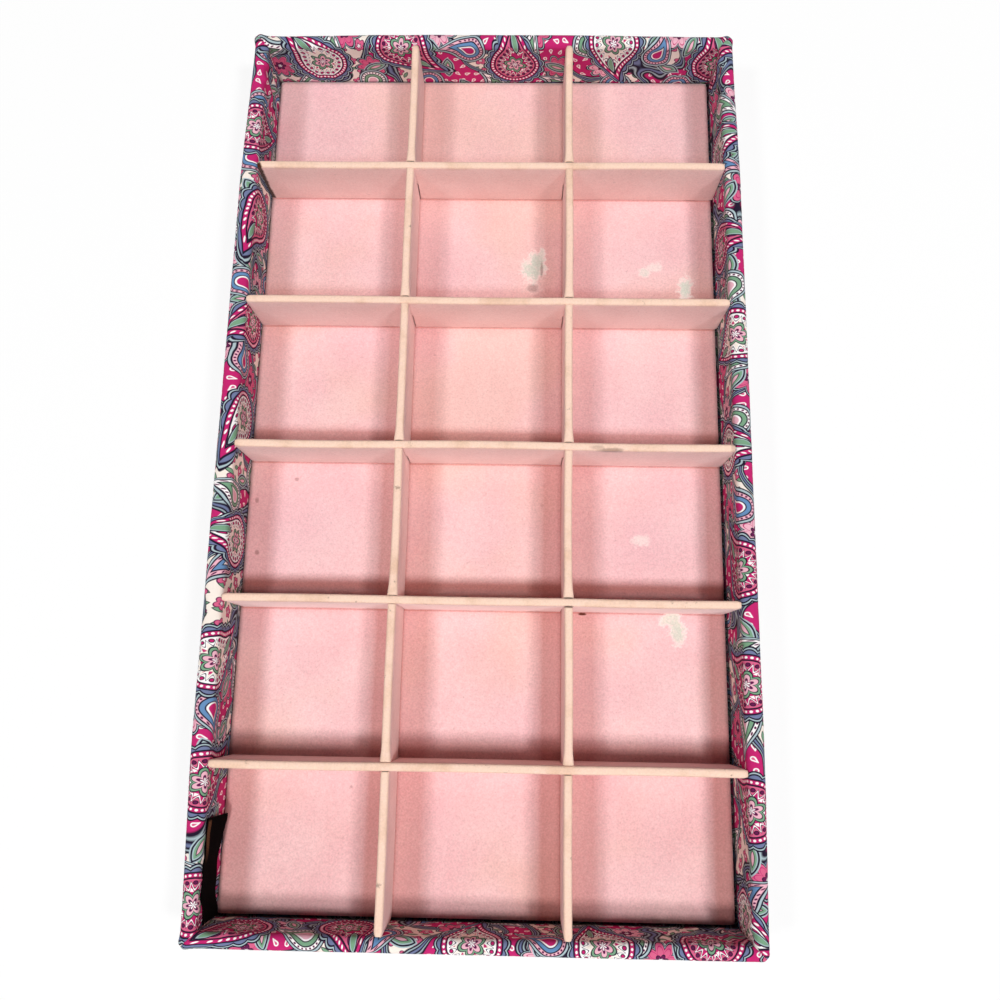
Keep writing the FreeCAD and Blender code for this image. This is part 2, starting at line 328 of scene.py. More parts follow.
@dataclass(frozen=True)
class PaisleyCotton:
    """Plain-weave cotton with a traditional paisley print, in millimetres of the flat cut."""

    cream: Colour = ink("f6eae0")
    aqua: Colour = ink("aec1c7")
    white: Colour = ink("fdf8f8")
    rose: Colour = ink("d8638a")
    pale: Colour = ink("ecb4c4")
    magenta: Colour = ink("c4266e")
    plum: Colour = ink("66194d")
    slate: Colour = ink("1f152b")
    steel: Colour = ink("717b9f")
    blue: Colour = ink("668db8")
    green: Colour = ink("7aa384")
    painted_crease_shade: Colour = ink("171014")
    zone_size: float = 21.0
    magenta_share: float = 0.51
    floor_line: float = 70.7
    thread_pitch: float = 0.42

    def _lattice(self, at: Spot, wide: float, high: float) -> tuple[Spot, Spot]:
        """Split the cloth into cells laid like bricks.

        Args:
            at: point on the flat cut.
            wide: width of a cell.
            high: height of a cell.

        Returns:
            The point from the middle of its cell, and the cell's number.
        """
        board = at.board
        spread = at.times(1 / wide, 1 / high)
        step = board.math("FLOORED_MODULO", spread.y.floor(), 2.0) * 0.5
        spread = board.point(spread.x + step, spread.y)
        cell = spread.floor()
        return spread.less(cell).moved(-0.5, -0.5).times(wide, high), cell

    def _spun(self, local: Spot, cell: Spot, seed: float) -> Spot:
        """Turn the motif of each cell by chance."""
        return local.turned(local.board.chance(cell, seed) * math.tau)

    def _pick(self, cell: Spot, seed: float, share: float) -> Field:
        """Choose cells by chance: 0 in about this share of them, 1 in the rest."""
        return cell.board.chance(cell, seed).ramp(share, share + 0.001)

    def _drop(self, at: Spot, bulb: float, reach: float, bend: float,
              tip: float = 0.3) -> tuple[Field, Spot]:
        """Measure a bent teardrop.

        Args:
            at: point from the middle of its bulb.
            bulb: radius of the round end.
            reach: bulb's middle to the tip.
            bend: how fast the tip leans over.
            tip: radius of the pointed end.

        Returns:
            The distance from its outline, negative inside, and the unbent point.
        """
        board = at.board
        rise = at.y.at_least(0.0)
        unbent = board.point(at.x - rise * rise * bend, at.y)
        across = abs(unbent.x)
        lean = (bulb - tip) / reach
        slant = lean / math.sqrt(1 - lean * lean)
        along = board.math("MULTIPLY_ADD", across, -slant / reach, at.y * (1 / reach), clamp=True)
        away = board.point(across, at.y - along * reach).reach()
        return board.math("MULTIPLY_ADD", along, bulb - tip, away) - bulb, unbent

    def _leaf(self, at: Spot, half_length: float, half_width: float) -> Field:
        """Measure a pointed leaf along the second axis."""
        round_by = (half_length ** 2 + half_width ** 2) / (2 * half_width)
        side = abs(at.x) + (round_by - half_width)
        return at.board.point(side, at.y).reach() - round_by

    def _flower(self, at: Spot, radius: float, petals: int) -> Field:
        """Measure a flower of round petals."""
        bearing = at.board.math("ARCTAN2", at.y, at.x)
        lobe = abs((bearing * (petals / 2)).cos())
        rim = at.board.math("MULTIPLY_ADD", lobe, radius * 0.36, radius * 0.64)
        return at.reach() - rim

    def _beads(self, unbent: Spot, distance: Field, track: float, count: int,
               radius: float) -> Field:
        """Measure a string of dots that follows a teardrop's outline."""
        board = unbent.board
        bearing = board.math("ARCTAN2", unbent.x, unbent.y) * (count / math.tau)
        along = (bearing.fract() - 0.5) * unbent.reach() * (math.tau / count)
        return board.point(along, distance + track).reach() - radius

    def _rings(self, board: NodeBoard, paint: object, distance: Field,
               rings: Sequence[tuple[float, object]], where: Field | None = None) -> object:
        """Fill a shape with nested colours.

        Args:
            board: board of the material.
            paint: colour underneath.
            distance: distance from the outline, negative inside.
            rings: pairs of distance and colour, from the outermost.
            where: mask of the cells that hold the shape.

        Returns:
            The colour with the shape on it.
        """
        for limit, colour in rings:
            mask = distance.inside(limit)
            paint = board.lay(paint, mask if where is None else mask * where, colour)
        return paint

    def _sprigs(self, board: NodeBoard, at: Spot) -> object:
        """Scatter small flowers and leaves over cream."""
        local, cell = self._lattice(at.moved(2.0, 1.0), 5.0, 4.6)
        leaf = self._leaf(self._spun(local, cell, 4.4), 2.0, 0.75)
        some = self._pick(cell, 3.3, 0.30)
        paint = self._rings(board, self.cream, leaf,
                            ((0.16, self.slate), (-0.12, self.green)), some)
        local, cell = self._lattice(at, 8.2, 7.4)
        local = self._spun(local, cell, 1.9).moved(0.7, 0.4)
        petals = self._flower(local, 2.6, 5)
        return self._rings(board, paint, petals, ((0.22, self.plum), (-0.15, self.rose),
                                                  (-1.35, self.plum), (-1.75, self.white)))

    def _ground(self, board: NodeBoard, at: Spot) -> object:
        """Lay the ground: cream and magenta fields parted by banded stems."""
        zone = board.noise(at, 1 / self.zone_size, 0.6) - self.magenta_share
        light = self._sprigs(board, at)
        seed, cell = self._lattice(at, 4.4, 4.8)
        grain, _ = self._drop(self._spun(seed, cell, 6.1).moved(0.0, 0.7), 0.85, 1.9, 0.0, 0.15)
        dark = self._rings(board, self.magenta, grain, ((0.0, self.white), (-0.42, self.rose)))
        paint = board.lay(light, zone.inside(0.0, 0.004), dark)
        band = abs(zone)
        for limit, colour in ((0.044, self.slate), (0.028, self.aqua), (0.020, self.slate),
                              (0.007, self.steel)):
            paint = board.lay(paint, band.inside(limit, 0.004), colour)
        return paint

    def _medallions(self, board: NodeBoard, at: Spot, paint: object) -> object:
        """Lay lobed pink medallions and green leaves between the teardrops."""
        local, cell = self._lattice(at.moved(7.0, 3.0), 21.0, 18.0)
        local = self._spun(local, cell, 3.1)
        some = self._pick(cell, 7.7, 0.42)
        lobes = self._flower(local, 7.2, 8)
        petal = board.lay(self.pale, self._pick(cell, 6.6, 0.4), self.rose)
        paint = self._rings(board, paint, lobes, (
            (0.75, self.slate), (0.2, self.aqua), (-0.15, self.slate), (-0.7, petal),
            (-1.9, self.magenta), (-2.3, petal)), some)
        heart = self._flower(local, 2.7, 6)
        paint = self._rings(board, paint, heart, ((0.0, self.slate), (-0.35, self.plum),
                                                  (-1.75, self.white)), some)
        local, cell = self._lattice(at.moved(1.0, 11.0), 16.5, 13.0)
        local = self._spun(local, cell, 8.3)
        some = self._pick(cell, 2.9, 0.45)
        leaf = self._leaf(local, 5.6, 2.3)
        return self._rings(board, paint, leaf, (
            (0.55, self.aqua), (0.1, self.slate), (-0.45, self.aqua), (-0.8, self.green),
            (-1.45, self.slate), (-1.7, self.pale)), some)

    def _small_drops(self, board: NodeBoard, at: Spot, paint: object) -> object:
        """Lay the smaller teardrops."""
        local, cell = self._lattice(at.moved(19.0, 8.0), 29.0, 23.0)
        local = self._spun(local, cell, 1.3).moved(1.5, 3.0)
        swap = self._pick(cell, 5.9, 0.5)
        body, unbent = self._drop(local, 5.8, 11.5, 0.05)
        band = board.lay(self.blue, swap, self.green)
        heart = board.lay(self.magenta, swap, self.pale)
        rim_ink = board.lay(self.pale, swap, self.white)
        paint = self._rings(board, paint, body, ((1.3, self.slate), (0.85, self.aqua),
                                                 (0.2, self.slate), (-0.35, rim_ink)))
        paint = board.lay(paint, self._beads(unbent, body, 0.85, 22, 0.38).inside(), self.plum)
        return self._rings(board, paint, body, ((-1.4, self.slate), (-1.85, band),
                                                (-3.0, self.slate), (-3.35, self.white),
                                                (-3.9, heart)))

    def _large_drops(self, board: NodeBoard, at: Spot, paint: object) -> object:
        """Lay the large teardrops with their bands, scallops, beads and inner flower."""
        local, cell = self._lattice(at, 45.0, 35.0)
        flip = self._pick(cell, 2.2, 0.5) * math.pi
        lean = (board.chance(cell, 9.4) - 0.5) * 1.4
        local = local.turned(flip + lean).moved(2.5, 5.5)
        swap = self._pick(cell, 4.6, 0.66)
        body, unbent = self._drop(local, 11.8, 21.5, 0.026)
        bearing = board.math("ARCTAN2", unbent.x, unbent.y)
        wave = abs((bearing * 9).sin())
        outer = body - wave * 1.1
        field_ink = board.lay(self.magenta, swap, self.cream)
        lobe_ink = board.lay(self.rose, swap, self.white)
        mark_ink = board.lay(self.white, swap, self.magenta)
        dot_ink = board.lay(self.plum, swap, self.magenta)
        paint = self._rings(board, paint, outer, ((1.3, self.slate), (0.7, self.aqua),
                                                  (0.25, self.slate), (-0.3, self.steel)))
        paint = self._rings(board, paint, body, ((-0.4, self.slate), (-1.0, self.magenta)))
        paint = board.lay(paint, self._beads(unbent, body, 1.7, 40, 0.45).inside(), self.white)
        paint = self._rings(board, paint, body, ((-2.4, self.slate), (-3.0, lobe_ink)))
        for radius, colour in ((0.8, self.slate), (0.5, dot_ink)):
            dots = self._beads(unbent, body, 4.3, 18, radius)
            paint = board.lay(paint, dots.inside(), colour)
        inner = body + wave * 2.4
        paint = self._rings(board, paint, inner, ((-3.6, self.slate), (-4.0, self.white),
                                                  (-4.6, field_ink)))
        seed, _ = self._lattice(local, 4.2, 5.2)
        grain, _ = self._drop(seed.moved(0.0, 0.9), 0.85, 2.1, 0.0, 0.1)
        paint = board.lay(paint, grain.inside() * inner.inside(-5.2), mark_ink)
        flower = self._flower(unbent, 5.4, 6)
        paint = self._rings(board, paint, flower, ((0.0, self.slate), (-0.5, self.green),
                                                   (-1.3, self.slate), (-1.7, self.pale),
                                                   (-3.0, self.plum), (-4.0, self.white)))
        frond = self._leaf(unbent.moved(0.0, -11.5), 5.0, 1.9)
        return self._rings(board, paint, frond, ((0.0, self.slate), (-0.5, self.aqua),
                                                 (-0.8, self.green)))

    def material(self) -> bpy.types.Material:
        """Make the printed cotton.

        Returns:
            The material.
        """
        board = NodeBoard("printed_cotton")
        at = board.cloth()
        wander = board.noise(at, 1 / 9, 2.0) - 0.5
        drawn = board.point(at.x + wander * 1.1, at.y - wander * 0.8)
        paint = self._ground(board, drawn)
        paint = self._medallions(board, drawn, paint)
        paint = self._small_drops(board, drawn, paint)
        paint = self._large_drops(board, drawn, paint)
        # Painted shade: the cloth darkened along the crease where the inner face meets the floor.
        crease_shade_mask = at.y.ramp(self.floor_line - 1.2, self.floor_line + 0.6)
        paint = board.lay(paint, crease_shade_mask * 0.85, self.painted_crease_shade)
        turn = math.tau / self.thread_pitch
        threads = (at.x * turn).sin() * (at.y * turn).sin() * 0.5 + 0.5
        slub = board.noise(at.times(0.25, 2.2), 1.0, 2.0)
        paint = board.shade(paint, board.math("MULTIPLY_ADD", threads, 0.10, 0.88) + slub * 0.10)
        normal = board.bump(threads * 0.6 + slub * 0.4, 0.00010, 0.5)
        return board.finish(paint, 0.86, normal, Sheen_Weight=0.02, Sheen_Roughness=0.6,
                            Specular_IOR_Level=0.10)


@dataclass(frozen=True)
class Mark:
    """A worn or stained patch, or a painted shadow, in metres of the part's frame, above a low
    level if it has one.
    """

    x: float
    y: float
    wide: float
    high: float
    strength: float = 1.0
    low: float | None = None


FLOOR_SCUFFS = (
    Mark(0.0188, 0.0868, 0.0052, 0.0062), Mark(0.0206, 0.0904, 0.0046, 0.0056),
    Mark(0.0230, 0.0948, 0.0016, 0.0034, 0.75), Mark(0.0730, 0.0890, 0.0040, 0.0026, 0.5),
    Mark(0.0684, 0.0862, 0.0026, 0.0024, 0.7), Mark(0.0860, 0.0790, 0.0036, 0.0052, 1.0),
    Mark(0.0646, -0.0336, 0.0042, 0.0028, 0.5), Mark(0.0792, -0.0698, 0.0036, 0.0056, 1.15),
    Mark(0.0770, -0.0660, 0.0046, 0.0032, 1.15), Mark(0.0775, -0.0625, 0.0022, 0.0020, 0.6),
    Mark(0.0188, 0.0786, 0.0048, 0.0034, 0.2),
)
FLOOR_SPECKS = (
    Mark(-0.0796, -0.0092, 0.0010, 0.0008, 0.5), Mark(-0.0959, -0.0185, 0.0010, 0.0012, 0.55),
    Mark(-0.0943, -0.0406, 0.0010, 0.0011, 0.55), Mark(-0.0500, -0.1330, 0.0006, 0.0006, 0.4),
    Mark(0.0230, 0.0876, 0.0007, 0.0040, 0.6), Mark(0.0407, -0.0640, 0.0017, 0.0006, 1.6),
    Mark(0.0188, 0.0786, 0.0030, 0.0020, 0.5), Mark(0.0240, -0.0190, 0.0008, 0.0008, 0.2),
)
DIVIDER_STAINS_AND_GAP_SHADE = (
    # Painted shadow of the gap between the back cross divider's left end and the wall; the marks
    # below are stains.
    Mark(-0.0993, 0.1214, 0.0018, 0.0030, 1.8),
    Mark(0.0500, -0.0014, 0.0052, 0.0009, 0.6, 0.0282),
    Mark(0.0450, -0.0004, 0.0030, 0.0010, 0.35, 0.0290),
    Mark(0.0985, 0.0000, 0.0010, 0.0030, 0.3, 0.0270),
    Mark(0.0337, -0.0600, 0.0022, 0.0005, 0.8, 0.0290),
    Mark(0.0337, -0.0634, 0.0020, 0.0005, 0.9, 0.0290),
)


@dataclass(frozen=True)
class ShadeStrips:
    """Painted shade: darker strips on a floor beside what stands on it, in metres, fitted to the
    photo's shading.

    An edge is a pair: the distance at which a strip starts to show and that at which it is full.
    A trend is a pair too: how a strip's strength changes towards the back, and its value midway.
    """

    row_pitch: float
    column_pitch: float
    half_divider: float
    front: float
    front_lead: float = 0.003
    behind_edge: Pair = (0.0118, 0.0068)
    behind_trend: Pair = (-3.2, 0.98)
    behind_limit: float = 1.2
    widest_at: float = -0.055
    narrowing: float = 0.05
    close_edge: Pair = (0.002, 0.006)
    close_share: float = 0.4
    left_edge: Pair = (0.0125, 0.007)
    right_edge: Pair = (0.0165, 0.009)
    beside_trend: Pair = (-1.6, 0.95)
    front_row_edge: Pair = (0.075, 0.045)
    line_edge: Pair = (0.0014, 0.0005)
    side_line_edge: Pair = (0.0009, 0.0002)
    side_line_share: float = 0.75
    before_edge: Pair = (0.006, 0.0005)
    before_share: float = 0.5
    shares: tuple[float, ...] = (0.66, 0.50, 0.38, 0.11, 0.58)

    def masks(self, at: Spot) -> tuple[Field, ...]:
        """Measure the painted shade strips round what stands on the floor.

        Args:
            at: point on the floor.

        Returns:
            Painted shade masks for the strips behind, to the left and to the right, for the darker
            front row, and for the thin dark lines where things stand on the floor, in the order of
            the shares.
        """
        board, half = at.board, self.half_divider
        start = self.column_pitch / 2
        behind = board.math("FLOORED_MODULO", at.y, self.row_pitch) - half
        behind = behind.at_most(abs(at.y - self.front) + self.front_lead)
        before = board.math("FLOORED_MODULO", at.y * -1.0, self.row_pitch) - half
        right = board.math("FLOORED_MODULO", at.x - start, self.column_pitch) - half
        left = board.math("FLOORED_MODULO", start - at.x, self.column_pitch) - half
        far = behind - (at.y - self.widest_at) * self.narrowing
        near = behind.ramp(*self.close_edge) * (1 - self.close_share) + self.close_share
        ahead = (at.y * self.behind_trend[0] + self.behind_trend[1]).at_most(self.behind_limit)
        beside = at.y * self.beside_trend[0] + self.beside_trend[1]
        sides = left.at_most(right).ramp(*self.side_line_edge) * self.side_line_share
        lines = before.ramp(*self.line_edge).at_least(sides)
        return (far.ramp(*self.behind_edge) * near * ahead,
                left.ramp(*self.left_edge) * beside,
                right.ramp(*self.right_edge) * beside,
                (at.y - self.front).ramp(*self.front_row_edge),
                lines.at_least(before.ramp(*self.before_edge) * self.before_share))


@dataclass(frozen=True)
class PinkVelour:
    """Short-nap pink velour, with worn cream edges and painted shade low on the faces where a top
    height is given.
    """

    name: str
    pink: Colour = ink("eec5c4")
    deep: Colour = ink("e5b5b6")
    painted_shade: Colour = ink("b4695f")
    worn: Colour = ink("f5d2bd")
    chalk: Colour = ink("f3e4dd")
    bald: Colour = ink("cbccbe")
    tan: Colour = ink("c2905f")
    mauve: Colour = ink("d9a8b6")
    sand: Colour = ink("e3bba8")
    soil_and_gap_shade: Colour = ink("5e3026")
    fleck: float = 0.5
    drift_scale: float = 17.0
    drift_from: Pair = (-0.23, 0.41)
    sandy_share: float = 0.12
    sandy_across: Pair = (0.045, 0.022)
    sandy_along: Pair = (-0.08, -0.04)
    top: float | None = None
    shade_strips: ShadeStrips | None = None
    scuffs: tuple[Mark, ...] = ()
    specks_and_gap_shade: tuple[Mark, ...] = ()

    def _patches(self, board: NodeBoard, at: Spot, marks: Iterable[Mark], edge: Field) -> Field:
        """Join patches with ragged edges into one mask."""
        total: Field | None = None
        for mark in marks:
            away = at.moved(-mark.x, -mark.y).times(1 / mark.wide, 1 / mark.high, 0.0).reach()
            patch = (away + edge).ramp(1.15, 0.55) * mark.strength
            if mark.low is not None:
                patch = patch * at.z.ramp(mark.low - 0.0005, mark.low + 0.0005)
            total = patch if total is None else total.at_least(patch)
        return total

    def material(self) -> bpy.types.Material:
        """Make the velour.

        Returns:
            The material.
        """
        board = NodeBoard(self.name)
        at = board.place()
        cloudy = board.noise(at, 42.0, 3.0)
        nap = board.noise(at, 1350.0, 2.0, 0.6)
        brushed = board.noise(at, 520.0, 3.0, 0.6)
        paint = board.lay(self.pink, (cloudy * 0.55 + brushed * 0.45).ramp(0.40, 0.66), self.deep)
        edge = (board.noise(at, 700.0, 3.0, 0.7) - 0.5) * 1.3
        edge = edge + (board.noise(at, 230.0, 2.0) - 0.5) * 1.5
        freckle = board.noise(at, 820.0, 1.0).ramp(0.70, 0.76)
        paint = board.lay(paint, freckle * 0.15, self.soil_and_gap_shade)
        if self.shade_strips is not None:
            sandy = abs(at.x).ramp(*self.sandy_across) * at.y.ramp(*self.sandy_along)
            drift = board.noise(at.moved(*self.drift_from), self.drift_scale, 3.0)
            drift = drift - sandy * self.sandy_share
            paint = board.lay(paint, drift.ramp(0.47, 0.66) * 0.26, self.mauve)
            paint = board.lay(paint, drift.ramp(0.47, 0.32) * 0.36, self.sand)
            # Painted shade: darker strips and thin dark lines beside the walls and dividers, and a
            # darker front row.
            for strip, share in zip(self.shade_strips.masks(at), self.shade_strips.shares):
                ragged = board.math("MULTIPLY_ADD", edge, 0.12, strip, clamp=True) * strip
                paint = board.lay(paint, ragged * share, self.painted_shade)
        if self.scuffs:
            patch = self._patches(board, at, self.scuffs, edge)
            paint = board.lay(paint, patch.ramp(0.02, 0.55) * 0.6, self.chalk)
            threadbare = patch.ramp(0.45, 1.0) * (edge + 0.6).ramp(-0.3, 0.7)
            paint = board.lay(paint, threadbare, self.bald)
        if self.top is not None:
            drop = (at.z * -1.0 + self.top) * (1 / MM)
            drop = drop + (board.noise(at, 160.0, 3.0) - 0.5) * 0.9
            rubbed = drop.ramp(1.35, 0.5) * (brushed + 0.5).ramp(0.4, 0.95)
            paint = board.lay(paint, rubbed, self.worn)
            aged = board.noise(at, 70.0, 4.0, 0.6).ramp(0.50, 0.68) * drop.ramp(2.6, 1.0)
            paint = board.lay(paint, aged * 0.30, self.tan)
            # Painted shade: the faces darker towards the bottom.
            paint = board.lay(paint, drop.ramp(13.0, 25.0) * 0.10, self.painted_shade)
            nick = board.noise(at, 150.0, 4.0, 0.65).ramp(0.665, 0.73) * drop.ramp(1.1, 0.5)
            paint = board.lay(paint, nick * 0.5, self.soil_and_gap_shade)
        # Stains and specks, and on the dividers also a painted shadow at one end.
        if self.specks_and_gap_shade:
            spots = self._patches(board, at, self.specks_and_gap_shade, edge * 0.5)
            paint = board.lay(paint, spots * 0.8, self.soil_and_gap_shade)
        paint = board.shade(paint, board.math("MULTIPLY_ADD", nap, self.fleck, 1 - self.fleck / 2))
        normal = board.bump(nap * 0.7 + brushed * 0.3, 0.00016, 0.55)
        return board.finish(paint, 0.95, normal, Sheen_Weight=0.25, Sheen_Roughness=0.45,
                            Specular_IOR_Level=0.12)


@dataclass(frozen=True)
class PlainStock:
    """Board, paper or felt: one colour broken by fibres."""

    name: str
    light: Colour
    dark: Colour
    fibre: float
    grain: float

    def material(self) -> bpy.types.Material:
        """Make the stock.

        Returns:
            The material.
        """
        board = NodeBoard(self.name)
        at = board.place()
        fibres = board.noise(at.times(1.0, 0.2, 1.0), self.fibre, 4.0, 0.65)
        flecks = board.noise(at, self.fibre * 1.8, 2.0).ramp(0.62, 0.70)
        paint = board.lay(self.light, fibres.ramp(0.35, 0.7), self.dark)
        paint = board.lay(paint, flecks * 0.4, self.dark)
        normal = board.bump(fibres, self.grain, 0.6)
        return board.finish(paint, 0.92, normal, Specular_IOR_Level=0.2)


@dataclass(frozen=True)
class BlackRibbon:
    """Black woven ribbon with a short brown band, in millimetres of the tag's flat cut."""

    black: Colour = ink("020101")
    lit: Colour = ink("070506")
    brown: Colour = ink("7a543c")
    width: float = 15.5
    length: float = 37.5
    rib: float = 0.55
    pick: float = 0.38
    twill: float = 1.1
    band_inset: float = 2.2
    band_half: float = 1.3
    band_start: Pair = (16.0, 9.0)
    band_end: Pair = (0.6, 1.4)

    def material(self) -> bpy.types.Material:
        """Make the ribbon.

        Returns:
            The material.
        """
        board = NodeBoard("black_ribbon")
        at = board.cloth()
        ribs = (at.x * (math.tau / self.rib)).sin() * 0.5 + 0.5
        picks = (at.y * (math.tau / self.pick)).sin() * 0.5 + 0.5
        twill = ((at.x + at.y) * (math.tau / self.twill)).sin() * 0.5 + 0.5
        paint = board.lay(self.black, ribs * 0.45 + picks * 0.2 + twill * 0.2, self.lit)
        band = abs(at.y - (self.width - self.band_inset)).inside(self.band_half, 0.2)
        for low, high in (self.band_start, self.band_end):
            band = band * at.x.ramp(self.length - low, self.length - high)
        paint = board.lay(paint, band * (ribs * 0.5 + 0.4), self.brown)
        normal = board.bump(ribs * 0.5 + picks * 0.5, 0.00012, 0.7)
        return board.finish(paint, 0.95, normal, Specular_IOR_Level=0.03)


def new_piece(mesh: bmesh.types.BMesh, name: str, body: str,
              finish: bpy.types.Material, nodes: Sequence[str]) -> bpy.types.Object:
    """Turn a mesh into a piece that stands for CAD nodes.

    Args:
        mesh: the modelled mesh, freed afterwards.
        name: name of the piece.
        body: body that it rides on.
        finish: its material.
        nodes: nodes that it replaces.

    Returns:
        The new object.
    """
    for face in mesh.faces:
        face.smooth = True
    data = bpy.data.meshes.new(name)
    mesh.to_mesh(data)
    mesh.free()
    data.materials.append(finish)
    piece = bpy.data.objects.new(name, data)
    bpy.context.scene.collection.objects.link(piece)
    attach(piece, body)
    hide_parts(*nodes)
    LOG.info("%s: %d faces on %s", name, len(data.polygons), body)
    return piece


def mark_flat(mesh: bmesh.types.BMesh, layer: bmesh.types.BMLayerItem,
              flat: dict[bmesh.types.BMVert, Pair]) -> None:
    """Write each point's place on the flat cut to its map.

    Args:
        mesh: the sheet.
        layer: the map.
        flat: place of each point, in millimetres.
    """
    for face in mesh.faces:
        for loop in face.loops:
            loop[layer].uv = Vector(flat[loop.vert]) * FLAT_SCALE


def turn_to(mesh: bmesh.types.BMesh, face: bmesh.types.BMFace, way: Vector) -> None:
    """Turn a sheet over if one of its faces points away from where it should."""
    if face.normal.dot(way) < 0:
        bmesh.ops.reverse_faces(mesh, faces=mesh.faces)


def thicken(piece: bpy.types.Object, thickness: float) -> None:
    """Give a sheet its thickness on the side away from its faces."""
    solid = piece.modifiers.new("thickness", "SOLIDIFY")
    solid.thickness = thickness
    solid.offset = -1.0
    solid.use_even_offset = True


@dataclass(frozen=True)
class Tray:
    """Sizes that the pieces of the tray share, in metres."""

    width: float = 210 * MM
    length: float = 374 * MM
    rim: float = 30 * MM
    wall: float = 5.4 * MM
    rim_round: float = 2.538 * MM
    corner_round: float = 2.843 * MM
    hem_level: float = 0.4 * MM
    hem: float = 14 * MM
    lip_level: float = 3.7 * MM
    lip: float = 10 * MM
    cotton: float = 0.4 * MM
    floor_top: float = 5.8 * MM
    floor_gap: float = 0.7 * MM
    floor_shift: float = 0.49 * MM
    floor_corner: float = 1 * MM
    divider_top: float = 30.6 * MM
    divider: float = 3.2 * MM
    divider_velour: float = 0.5 * MM
    end_gap: float = 0.3 * MM
    slot_gap: float = 0.15 * MM
    under_slot_gap: float = 0.45 * MM
    end_row_less: float = 1.6 * MM
    columns: int = 3
    rows: int = 6

    @property
    def inner_width(self) -> float:
        """Width between the cotton of the side walls."""
        return self.width - 2 * self.wall

    @property
    def inner_length(self) -> float:
        """Length between the cotton of the end walls."""
        return self.length - 2 * self.wall

    @property
    def column_pitch(self) -> float:
        """Step from one long divider to the next."""
        return (self.inner_width + self.divider) / self.columns

    @property
    def row_pitch(self) -> float:
        """Step from one cross divider to the next."""
        return (self.inner_length + self.divider + 2 * self.end_row_less) / self.rows

    def shade_strips(self) -> ShadeStrips:
        """Say where the grid and the front wall stand on the floor, for the painted shade beside
        them.
        """
        return ShadeStrips(self.row_pitch, self.column_pitch, self.divider / 2, -self.inner_length / 2)

    def column_lines(self) -> list[float]:
        """Middles of the long dividers, from the left."""
        return [(n - self.columns / 2) * self.column_pitch for n in range(1, self.columns)]

    def row_lines(self) -> list[float]:
        """Middles of the cross dividers, from the front."""
        return [(n - self.rows / 2) * self.row_pitch for n in range(1, self.rows)]


class Side(Enum):
    """The four walls, each with its outward direction and its run."""

    FRONT = ("front", (0.0, -1.0), (1.0, 0.0))
    BACK = ("back", (0.0, 1.0), (1.0, 0.0))
    LEFT = ("left", (-1.0, 0.0), (0.0, 1.0))
    RIGHT = ("right", (1.0, 0.0), (0.0, 1.0))

    @property
    def label(self) -> str:
        """Name of the wall."""
        return self.value[0]

    @property
    def outward(self) -> Vector:
        """Direction away from the tray."""
        return Vector((*self.value[1], 0.0))

    @property
    def along(self) -> Vector:
        """Direction along the wall."""
        return Vector((*self.value[2], 0.0))


@dataclass(frozen=True)
class Fold:
    """One row of the cotton across a wall: how deep it lies, how high, and which way it faces."""

    travel: float
    depth: float
    height: float
    face_in: float
    face_up: float


